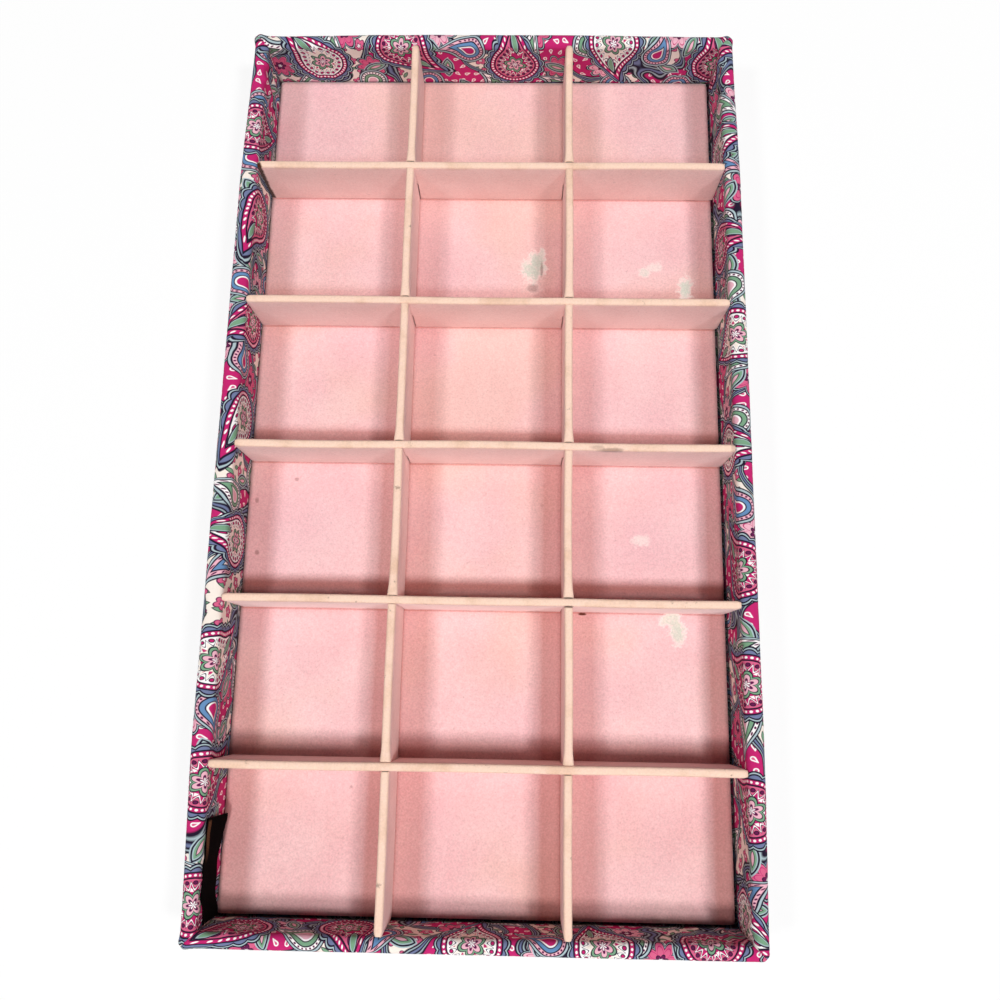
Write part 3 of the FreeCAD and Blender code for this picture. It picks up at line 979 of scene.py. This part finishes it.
@dataclass
class CottonWrap:
    """The cotton of one wall: turned under, up the outside, over the rim and down the inside."""

    side: Side
    tray: Tray
    print_at: float
    columns: int
    pucker: Pair
    ears: Pair
    belly: float
    quiet: tuple[float, ...]
    seed: float
    swell: float = 0.16 * MM
    rim_swell: float = 0.22 * MM
    drape: float = 0.30 * MM
    notch: float = 0.28 * MM
    pucker_reach: float = 30 * MM
    ear_reach: float = 3.2 * MM
    notch_reach: float = 0.7 * MM
    belly_reach: float = 75 * MM
    crowding: float = 1.12
    hem_round: float = 0.8 * MM
    lip_round: float = 0.6 * MM

    @property
    def _ends_across(self) -> bool:
        """Whether the wall runs across the tray."""
        return self.side.along.x > 0.5

    def _folds(self) -> list[Fold]:
        """Walk across the wall, from the hem underneath to the lip under the floor card."""
        t = self.tray
        rows: list[Fold] = []
        travel = 0.0

        def straight(start: Pair, end: Pair, face: Pair, count: int) -> None:
            """Add rows along a straight run."""
            nonlocal travel
            run = math.dist(start, end)
            for step in range(count):
                share = step / count
                rows.append(Fold(travel + run * share, start[0] + (end[0] - start[0]) * share,
                                 start[1] + (end[1] - start[1]) * share, *face))
            travel += run

        def bend(middle: Pair, radius: float, start: float, end: float, count: int,
                 outward: float) -> None:
            """Add rows round a bend, with its angles in degrees."""
            nonlocal travel
            run = abs(math.radians(end - start)) * radius
            for step in range(count):
                angle = math.radians(start + (end - start) * step / count)
                rows.append(Fold(travel + run * step / count,
                                 middle[0] + radius * math.cos(angle),
                                 middle[1] + radius * math.sin(angle),
                                 outward * math.cos(angle), outward * math.sin(angle)))
            travel += run

        low, high, top = self.hem_round, self.lip_round, t.rim - t.rim_round
        inner = t.wall - t.rim_round
        straight((t.hem, t.hem_level), (low, t.hem_level), (0.0, -1.0), 4)
        bend((low, t.hem_level + low), low, 270, 180, 4, 1.0)
        straight((0.0, t.hem_level + low), (0.0, top), (-1.0, 0.0), 20)
        bend((t.rim_round, top), t.rim_round, 180, 90, 9, 1.0)
        straight((t.rim_round, t.rim), (inner, t.rim), (0.0, 1.0), 1)
        bend((inner, top), t.rim_round, 90, 0, 9, 1.0)
        straight((t.wall, top), (t.wall, t.lip_level + high), (1.0, 0.0), 22)
        bend((t.wall + high, t.lip_level + high), high, 180, 270, 3, -1.0)
        end = (t.wall + t.lip, t.lip_level)
        straight((t.wall + high, t.lip_level), end, (0.0, 1.0), 3)
        rows.append(Fold(travel, *end, 0.0, 1.0))
        return rows

    def _lift(self, place: float, to_mitre: float, end: int, row: Fold) -> float:
        """Work out how far the cloth stands off its wall.

        Args:
            place: distance along the wall from its middle.
            to_mitre: distance to the nearer mitre.
            end: 0 for the nearer end at the start of the wall, 1 for the other.
            row: row of the cotton.

        Returns:
            The distance, in metres.
        """
        t = self.tray
        spot = Vector((place / MM, row.travel / MM, self.seed))
        free = ease(to_mitre, 0.5 * MM, 7 * MM)
        inner = ease(row.depth, t.wall - 1.5 * MM, t.wall) * ease(row.height, 4 * MM, 9 * MM)
        upper = ease(row.height, t.rim - 5 * MM, t.rim)
        shown = ease(row.height, 1 * MM, 5 * MM)
        swell = 0.5 + 0.5 * noise.noise(spot * 0.055)
        lift = self.swell * swell * shown
        roll = 0.5 + 0.5 * noise.noise(spot * 0.11 + Vector((40, 3, 1)))
        lift += self.rim_swell * upper * roll
        still = min((abs(place - line) for line in self.quiet), default=1.0)
        roam = ease(still, 2.5 * MM, 8 * MM)
        wave = math.sin(spot.x * 0.72 + spot.y * 0.16 + 2.4 * noise.noise(spot * 0.07))
        near = math.exp(-(to_mitre / self.pucker_reach) ** 2)
        lift += self.pucker[end] * near * inner * max(wave, -0.25) * roam
        drape = noise.noise(Vector((spot.x * 0.09, spot.y * 0.03, self.seed + 7)))
        lift += self.drape * inner * max(drape, 0.0) * roam
        lift *= free
        rim = ease(row.height, t.rim - 4.2 * MM, t.rim - 0.6 * MM)
        lift += self.ears[end] * rim * math.exp(-(to_mitre / self.ear_reach) ** 2)
        lift -= self.notch * rim * math.exp(-(to_mitre / self.notch_reach) ** 2)
        return lift

    def _place(self, share: float, row: Fold) -> tuple[Vector, float]:
        """Put one point of the flat cut on the wall.

        Args:
            share: place along the wall, from -1 to 1.
            row: row of the cotton.

        Returns:
            The point, and its distance along the flat cut.
        """
        t = self.tray
        half = (t.width if self._ends_across else t.length) / 2
        plane = (t.length if self._ends_across else t.width) / 2
        centre = half - t.corner_round
        curl = max(t.corner_round - row.depth, 0.0)
        reach = centre + curl * math.pi / 4 if curl > 0 else half - row.depth
        share = math.copysign(1 - (1 - abs(share)) ** self.crowding, share)
        run = abs(share) * reach
        way = math.copysign(1.0, share)
        out, along = self.side.outward, self.side.along * way
        inward, position, depth = -out, run, row.depth
        if curl > 0 and run > centre:
            angle = (run - centre) / curl
            position = centre + curl * math.sin(angle)
            depth = t.corner_round - curl * math.cos(angle)
            inward = -(out * math.cos(angle) + along * math.sin(angle))
        point = out * (plane - depth) + along * position + Vector((0, 0, row.height))
        face = inward * row.face_in + Vector((0, 0, row.face_up))
        lift = self._lift(way * run, reach - run, 0 if way < 0 else 1, row)
        loose = ease(row.height, 2 * MM, t.rim - 4 * MM) * (1 - ease(row.depth, 1.5 * MM, t.wall))
        bulge = out * self.belly * loose * ease(reach - run, 0.0, self.belly_reach)
        return point + face * lift + bulge, way * run

    def build(self, finish: bpy.types.Material) -> bpy.types.Object:
        """Model the cotton.

        Args:
            finish: the printed cotton.

        Returns:
            The piece.
        """
        rows = self._folds()
        last = len(rows) - 1
        mesh = bmesh.new()
        cut = mesh.loops.layers.uv.new(FLAT_CUT)
        bmesh.ops.create_grid(mesh, x_segments=self.columns, y_segments=last, size=1.0)
        flat: dict[bmesh.types.BMVert, Pair] = {}
        for vert in mesh.verts:
            row = rows[round((vert.co.y + 1) / 2 * last)]
            vert.co, run = self._place(vert.co.x, row)
            flat[vert] = ((run + self.print_at) / MM, row.travel / MM)
        mark_flat(mesh, cut, flat)
        mesh.normal_update()
        mid_height = self.tray.rim / 2
        outer = min(mesh.faces, key=lambda face: abs(face.calc_center_median().z - mid_height)
                    - self.side.outward.dot(face.calc_center_median()) * 4)
        turn_to(mesh, outer, self.side.outward)
        piece = new_piece(mesh, f"{self.side.label}_printed_cotton", "tray",
                          finish, [f"{self.side.label}_cotton_wrap"])
        thicken(piece, self.tray.cotton * 0.9)
        length = self.tray.width if self._ends_across else self.tray.length
        return piece


class Run(Enum):
    """The two ways that a divider can run."""

    LONG = "long"
    CROSS = "cross"


@dataclass
class Divider:
    """The velour cover of one divider, folded over its slotted board."""

    label: str
    run: Run
    line: float
    body: str
    bows: tuple[float, ...]
    tray: Tray
    crest_round: float = 1.05 * MM
    end_pinch: float = 0.22
    end_droop: float = 0.35 * MM
    lap_flare: float = 0.27
    flare_reach: float = 3.6 * MM
    sag: float = 0.18 * MM
    rise_limit: float = 0.1 * MM
    rib_step: float = 7 * MM
    slot_room: float = 8.5 * MM
    beside_edge: tuple[float, ...] = (0.3 * MM, 1.0 * MM)
    past_lap: tuple[float, ...] = (0.3 * MM, 1.0 * MM, 2.2 * MM, 3.8 * MM, 6.0 * MM)
    before_end: tuple[float, ...] = (0.3 * MM, 0.8 * MM, 1.6 * MM)

    @property
    def _height(self) -> float:
        """Height above the floor."""
        return self.tray.divider_top - self.tray.floor_top

    @property
    def _length(self) -> float:
        """Length from end to end."""
        t = self.tray
        room = t.inner_length if self.run is Run.LONG else t.inner_width
        return room - 2 * t.end_gap

    @property
    def _slots(self) -> list[float]:
        """Middles of the slots."""
        return self.tray.row_lines() if self.run is Run.LONG else self.tray.column_lines()

    def _cuts(self, half: float) -> tuple[list[float], list[float]]:
        """List where the strip is cut into faces, closest near its edges.

        Args:
            half: half of a slot's width.

        Returns:
            Places of the upright cuts along the strip, and heights of the level ones.
        """
        length, height, slots = self._length, self._height, self._slots
        upright = [x + step for x in slots for step in (-half, half)]
        upright += [x + half + step for x in slots for step in self.past_lap]
        upright += [x - half - step for x in slots for step in self.beside_edge]
        upright += [way * (length / 2 - step) for way in (-1, 1) for step in self.before_end]
        count = round(length / self.rib_step)
        ribs = [length * (n / count - 0.5) for n in range(1, count)]
        upright += [rib for rib in ribs if min(abs(rib - x) for x in slots) > self.slot_room]
        level = [height * part for part in (0.25, 0.5, 0.75)]
        level += [height / 2 + way * step for way in (-1, 1) for step in self.beside_edge]
        return upright, level + list(self.beside_edge)

    def _strip(self) -> bmesh.types.BMesh:
        """Cut the slotted strip in its own plane and give it the divider's thickness."""
        t = self.tray
        height = self._height
        mesh = bmesh.new()
        bmesh.ops.create_grid(mesh, x_segments=1, y_segments=1, size=0.5)
        bmesh.ops.translate(mesh, vec=(0, 0.5, 0), verts=mesh.verts)
        bmesh.ops.scale(mesh, vec=(self._length, height, 1), verts=mesh.verts)
        half = t.divider / 2 + (t.slot_gap if self.run is Run.LONG else t.under_slot_gap)
        upright, level = self._cuts(half)
        planes = [((x, 0, 0), (1, 0, 0)) for x in upright] + [((0, y, 0), (0, 1, 0)) for y in level]
        for point, normal in planes:
            bmesh.ops.bisect_plane(mesh, geom=mesh.verts[:] + mesh.edges[:] + mesh.faces[:],
                                   plane_co=point, plane_no=normal)
        upper = self.run is Run.LONG
        open_faces = [face for face in mesh.faces
                      if (face.calc_center_median().y > height / 2) == upper
                      and min(abs(face.calc_center_median().x - x) for x in self._slots) < half]
        bmesh.ops.delete(mesh, geom=open_faces, context="FACES")
        back = bmesh.ops.extrude_face_region(mesh, geom=mesh.faces[:])
        moved = [item for item in back["geom"] if isinstance(item, bmesh.types.BMVert)]
        bmesh.ops.translate(mesh, vec=(0, 0, t.divider), verts=moved)
        bmesh.ops.translate(mesh, vec=(0, 0, -t.divider / 2), verts=mesh.verts)
        bmesh.ops.recalc_face_normals(mesh, faces=mesh.faces)
        return mesh

    def _soften(self, mesh: bmesh.types.BMesh) -> None:
        """Round the top edges and open the ends, the slots and the underside."""
        height = self._height
        crest = [edge for edge in mesh.edges
                 if all(vert.co.y > height - 1e-6 for vert in edge.verts)
                 and abs(edge.verts[0].co.z - edge.verts[1].co.z) < 1e-6]
        bmesh.ops.bevel(mesh, geom=crest, offset=self.crest_round, offset_type="OFFSET", segments=5,
                        profile=0.5, affect="EDGES", material=-1)
        mesh.normal_update()
        bare = [face for face in mesh.faces if abs(face.normal.x) > 0.7 or face.normal.y < -0.7
                or (face.normal.y > 0.7 and face.calc_center_median().y < height - 2 * MM)]
        bmesh.ops.delete(mesh, geom=bare, context="FACES")

    def _bow(self, x: float) -> float:
        """Sideways sway of the strip between its crossings."""
        stops = [-self._length / 2, *self._slots, self._length / 2]
        for bow, start, end in zip(self.bows, stops, stops[1:]):
            if start <= x <= end:
                return bow * math.sin(math.pi * (x - start) / (end - start))
        return 0.0

    def _fullness(self, x: float, crest: float) -> float:
        """Share of the usual thickness: more behind the laps, less at the ends."""
        share = 1 - self.end_pinch * (1 - ease(self._length / 2 - abs(x), 0.0, 1.6 * MM))
        if self.run is Run.LONG:
            past = min((x - slot for slot in self._slots if x > slot), default=1.0)
            past -= self.tray.divider / 2
            share += self.lap_flare * math.exp(-(past / self.flare_reach) ** 2) * crest
        return share

    def build(self, finish: bpy.types.Material) -> bpy.types.Object:
        """Model the cover.

        Args:
            finish: the velour.

        Returns:
            The piece.
        """
        t = self.tray
        mesh = self._strip()
        self._soften(mesh)
        height = self._height
        for vert in mesh.verts:
            x, y, z = vert.co
            crest = ease(y, height * 0.5, height)
            to_end = self._length / 2 - abs(x)
            sag = self.sag * noise.noise(Vector((x * 30, self.line * 90, 2.0))) * crest
            sag -= self.end_droop * (1 - ease(to_end, 0.0, 1.2 * MM)) * crest
            sway = self._bow(x) * (0.35 + 0.65 * crest)
            vert.co = (x, y + min(sag, self.rise_limit), z * self._fullness(x, crest) + sway)
        stand = Matrix.Rotation(math.pi / 2, 4, "X")
        turn = Matrix.Rotation(math.pi / 2, 4, "Z") if self.run is Run.LONG else Matrix()
        where = (self.line, 0, t.floor_top) if self.run is Run.LONG else (0, self.line, t.floor_top)
        bmesh.ops.transform(mesh, matrix=Matrix.Translation(where) @ turn @ stand, verts=mesh.verts)
        piece = new_piece(mesh, f"{self.label}_cover", self.body, finish,
                          [f"{self.label}_velour"])
        thicken(piece, t.divider_velour * 0.96)
        self._length
        return piece


@dataclass
class FloorLining:
    """The velour on the floor card."""

    tray: Tray
    across: int = 110
    along: int = 200
    waviness: float = 0.10 * MM
    edge_dip: float = 0.25 * MM
    edge_reach: float = 1.2 * MM
    thickness: float = 0.3 * MM

    def build(self, finish: bpy.types.Material) -> bpy.types.Object:
        """Model the lining.

        Args:
            finish: the velour.

        Returns:
            The piece.
        """
        t = self.tray
        half = Vector((t.inner_width / 2 - t.floor_gap, t.inner_length / 2 - t.floor_gap))
        mesh = bmesh.new()
        bmesh.ops.create_grid(mesh, x_segments=self.across, y_segments=self.along, size=1.0)
        middle = half - Vector((t.floor_corner, t.floor_corner))
        for vert in mesh.verts:
            spot = Vector((vert.co.x * half.x, vert.co.y * half.y))
            past = Vector((max(abs(spot.x) - middle.x, 0.0), max(abs(spot.y) - middle.y, 0.0)))
            if past.x > 0 and past.y > 0:
                drawn = past * (max(past) / past.length)
                spot.x = math.copysign(middle.x + drawn.x, spot.x)
                spot.y = math.copysign(middle.y + drawn.y, spot.y)
            wave = noise.noise(Vector((spot.x * 28, spot.y * 28, 4.0)))
            dip = self.waviness * (0.5 + 0.5 * wave)
            rim = min(half.x - abs(spot.x), half.y - abs(spot.y))
            dip += self.edge_dip * (1 - ease(rim, 0.0, self.edge_reach))
            vert.co = (spot.x - t.floor_shift, spot.y + t.floor_shift, t.floor_top - dip)
        mesh.normal_update()
        turn_to(mesh, mesh.faces[:][0], Vector((0, 0, 1)))
        piece = new_piece(mesh, "floor_lining", "tray", finish, ["floor_velour"])
        thicken(piece, self.thickness)
        2 * half.x
        2 * half.y
        return piece


@dataclass
class WovenTag:
    """The plain ribbon tag sewn to the inside of the left wall."""

    tray: Tray
    length: float = 37.5 * MM
    height: float = 15.5 * MM
    near_front: float = 1.0 * MM
    rise: float = 5.6 * MM
    thickness: float = 0.45 * MM
    stand_off: float = 0.75 * MM
    curl: float = 2.3 * MM
    ripple: float = 0.12 * MM
    droop: float = 4.4 * MM
    droop_reach: float = 12 * MM
    hang: float = 0.6 * MM

    def build(self, finish: bpy.types.Material) -> bpy.types.Object:
        """Model the tag.

        Args:
            finish: the ribbon.

        Returns:
            The piece.
        """
        t = self.tray
        mesh = bmesh.new()
        cut = mesh.loops.layers.uv.new(FLAT_CUT)
        bmesh.ops.create_grid(mesh, x_segments=56, y_segments=26, size=0.5)
        flat: dict[bmesh.types.BMVert, Pair] = {}
        for vert in mesh.verts:
            run, up = (vert.co.x + 0.5) * self.length, (vert.co.y + 0.5) * self.height
            flat[vert] = (run / MM, up / MM)
            low = 1 - up / self.height
            loose = ease(run, self.length * 0.55, self.length)
            stand = self.stand_off + self.curl * loose * low ** 1.4
            stand += self.ripple * math.sin(run / MM * 0.55)
            droop = self.droop * (1 - ease(run, 0.0, self.droop_reach))
            y = -t.inner_length / 2 + self.near_front + run
            z = t.floor_top + self.rise + up - droop - self.hang * loose * low
            vert.co = (-t.inner_width / 2 + stand, y, z)
        mark_flat(mesh, cut, flat)
        mesh.normal_update()
        turn_to(mesh, mesh.faces[:][0], Vector((1, 0, 0)))
        piece = new_piece(mesh, "plain_tag", "tray", finish, ["woven_tag"])
        thicken(piece, self.thickness)
        return piece


@dataclass
class HiddenStock:
    """Finishes for the CAD nodes that stay: boards, wadding and the underside sheet."""

    board: PlainStock = PlainStock("greyboard", ink("b8aea2"), ink("93897d"), 900.0, 0.00008)
    felt: PlainStock = PlainStock("wadding", ink("ece9e2"), ink("d8d3c9"), 1400.0, 0.0002)
    paper: PlainStock = PlainStock("lining_paper", ink("d9a9a6"), ink("c39492"), 1100.0, 0.00004)

    def dress(self) -> None:
        """Give each node that shows its own stock."""
        made = {stock.name: stock.material() for stock in (self.board, self.felt, self.paper)}
        for entry in frame["record"]["subparts"]:
            finish = made.get(entry["material_slot"])
            node = bpy.data.objects.get(entry["node"])
            if finish is None or node is None:
                continue
            node.data.materials.clear()
            node.data.materials.append(finish)
            LOG.info("%s: finished as %s", entry["node"], finish.name)


@dataclass(frozen=True)
class Lamp:
    """A square soft lamp aimed at the tray: its place and size in metres, its power in watts."""

    name: str
    at: tuple[float, float, float]
    size: float
    power: float

    def hang(self) -> None:
        """Hang the lamp."""
        data = bpy.data.lights.new(self.name, "AREA")
        data.size = self.size
        data.energy = self.power
        lamp = bpy.data.objects.new(self.name, data)
        lamp.location = self.at
        lamp.rotation_euler = (-Vector(self.at)).to_track_quat("-Z", "Y").to_euler()
        bpy.context.scene.collection.objects.link(lamp)


@dataclass
class Studio:
    """Floor, lamps and camera."""

    lens: float = 32.055
    sensor: float = 36.0
    eye: tuple[float, float, float] = (14.196 * MM, -94.105 * MM, 370.612 * MM)
    tilt: tuple[float, float, float] = (0.2086, 0.0177, 0.0175)
    ambient: float = 0.05
    floor_half: float = 3.0
    floor_drop: float = 0.3 * MM
    floor_grey: float = 0.92
    floor_glow: float = 0.8
    glow_reach: Pair = (0.35, 0.8)
    lamps: tuple[Lamp, ...] = (
        Lamp("front_softbox", (0.03, -1.50, 3.70), 0.60, 82.0),
        Lamp("left_softbox", (-2.25, -0.75, 3.70), 0.56, 48.0),
        Lamp("right_softbox", (2.00, -0.75, 3.70), 0.56, 72.0),
    )

    def _floor(self) -> None:
        """Lay a plain pale floor that keeps the tray's shadow and is white further off."""
        mesh = bmesh.new()
        bmesh.ops.create_grid(mesh, x_segments=1, y_segments=1, size=self.floor_half)
        data = bpy.data.meshes.new("studio_floor")
        mesh.to_mesh(data)
        mesh.free()
        floor = bpy.data.objects.new("studio_floor", data)
        floor.location.z = -self.floor_drop
        bpy.context.scene.collection.objects.link(floor)
        board = NodeBoard("pale_floor")
        diffuse = board.node("ShaderNodeBsdfDiffuse")
        diffuse.inputs["Color"].default_value = (*[self.floor_grey] * 3, 1.0)
        glow = board.node("ShaderNodeEmission")
        glow.inputs["Strength"].default_value = 1.0
        rays = board.node("ShaderNodeLightPath")
        seen = board.math("MAXIMUM", Field(board, rays.outputs["Is Camera Ray"]),
                          Field(board, rays.outputs["Is Glossy Ray"]))
        white = board.place().reach().ramp(*self.glow_reach) * (1 - self.floor_glow)
        white = white + self.floor_glow
        seen = seen.at_least(Field(board, rays.outputs["Is Transmission Ray"])) * white
        mix = board.node("ShaderNodeMixShader")
        board.feed(mix.inputs[0], seen)
        board.tree.links.new(diffuse.outputs[0], mix.inputs[1])
        board.tree.links.new(glow.outputs[0], mix.inputs[2])
        out = board.node("ShaderNodeOutputMaterial")
        board.tree.links.new(mix.outputs[0], out.inputs[0])
        data.materials.append(board.material)

    def _room(self) -> None:
        """Fill the room with faint light, and show it white behind the tray."""
        world = bpy.data.worlds.new("soft_room")
        world.use_nodes = True
        tree = world.node_tree
        rays = tree.nodes.new("ShaderNodeLightPath")
        strength = rays.outputs["Is Camera Ray"]
        for other in ("Is Glossy Ray", "Is Transmission Ray"):
            either = tree.nodes.new("ShaderNodeMath")
            either.operation = "MAXIMUM"
            tree.links.new(strength, either.inputs[0])
            tree.links.new(rays.outputs[other], either.inputs[1])
            strength = either.outputs[0]
        dimmed = tree.nodes.new("ShaderNodeMath")
        dimmed.operation = "MAXIMUM"
        dimmed.inputs[1].default_value = self.ambient
        tree.links.new(strength, dimmed.inputs[0])
        background = tree.nodes["Background"]
        background.inputs["Color"].default_value = (1.0, 1.0, 1.0, 1.0)
        tree.links.new(dimmed.outputs[0], background.inputs["Strength"])
        bpy.context.scene.world = world

    def build(self) -> None:
        """Set the whole stage."""
        self._floor()
        for lamp in self.lamps:
            lamp.hang()
        self._room()
        data = bpy.data.cameras.new("photo_camera")
        data.lens = self.lens
        data.sensor_width = self.sensor
        camera = bpy.data.objects.new("photo_camera", data)
        camera.location = self.eye
        camera.rotation_euler = self.tilt
        bpy.context.scene.collection.objects.link(camera)
        bpy.context.scene.camera = camera
        bpy.context.scene.view_settings.view_transform = "Standard"


def build_walls(tray: Tray) -> None:
    """Wrap the four walls in printed cotton."""
    cotton = PaisleyCotton().material()
    rows = tuple(tray.row_lines())
    columns = tuple(tray.column_lines())
    wraps = (
        CottonWrap(Side.FRONT, tray, print_at=0.000, columns=230, pucker=(0.45 * MM, 0.60 * MM),
                   ears=(0.9 * MM, 0.2 * MM), belly=0.0, quiet=columns, seed=1.0),
        CottonWrap(Side.BACK, tray, print_at=0.531, columns=230, pucker=(0.75 * MM, 0.80 * MM),
                   ears=(1.3 * MM, 1.0 * MM), belly=0.9 * MM, quiet=columns, seed=12.0),
        CottonWrap(Side.LEFT, tray, print_at=1.117, columns=380, pucker=(0.45 * MM, 0.95 * MM),
                   ears=(0.9 * MM, 1.3 * MM), belly=1.8 * MM, quiet=rows, seed=23.0),
        CottonWrap(Side.RIGHT, tray, print_at=1.843, columns=380, pucker=(0.70 * MM, 0.95 * MM),
                   ears=(0.2 * MM, 1.0 * MM), belly=1.15 * MM, quiet=rows, seed=34.0),
    )
    for wrap in wraps:
        wrap.build(cotton)


def build_dividers(tray: Tray) -> None:
    """Cover the two long and the five cross dividers."""
    velour = PinkVelour("divider_velour_pink", ink("fad7d1"), ink("f3cac4"), soil_and_gap_shade=ink("4a2412"),
                        fleck=0.28, top=tray.divider_top, specks_and_gap_shade=DIVIDER_STAINS_AND_GAP_SHADE).material()
    sway = 0.35 * MM
    for name, line, lean in zip(("left", "right"), tray.column_lines(), (1.0, -1.0)):
        bows = tuple(sway * lean * part for part in (0.4, -0.6, 0.8, 0.3, -0.7, 0.5))
        Divider(f"long_divider_{name}", Run.LONG, line, "long_dividers", bows, tray).build(velour)
    bends = ((0.5, 0.2, -0.6), (-0.4, 0.7, 0.3), (0.8, -0.9, 0.6), (-0.5, 0.4, 0.7),
             (0.6, -0.3, -0.5))
    for number, (line, bend) in enumerate(zip(reversed(tray.row_lines()), bends), start=1):
        label = f"cross_divider_{number}"
        bows = tuple(sway * part for part in bend)
        Divider(label, Run.CROSS, line, label, bows, tray).build(velour)


def main() -> None:
    """Build every piece in order."""
    logging.basicConfig(level=logging.INFO, format="%(name)s %(message)s")
    tray = Tray()
    Studio().build()
    HiddenStock().dress()
    build_walls(tray)
    FloorLining(tray).build(
        PinkVelour("floor_velour_pink", shade_strips=tray.shade_strips(), scuffs=FLOOR_SCUFFS,
                   specks_and_gap_shade=FLOOR_SPECKS).material())
    build_dividers(tray)
    WovenTag(tray).build(BlackRibbon().material())
    bpy.context.view_layer.update()


if __name__ == "__main__":
    main()
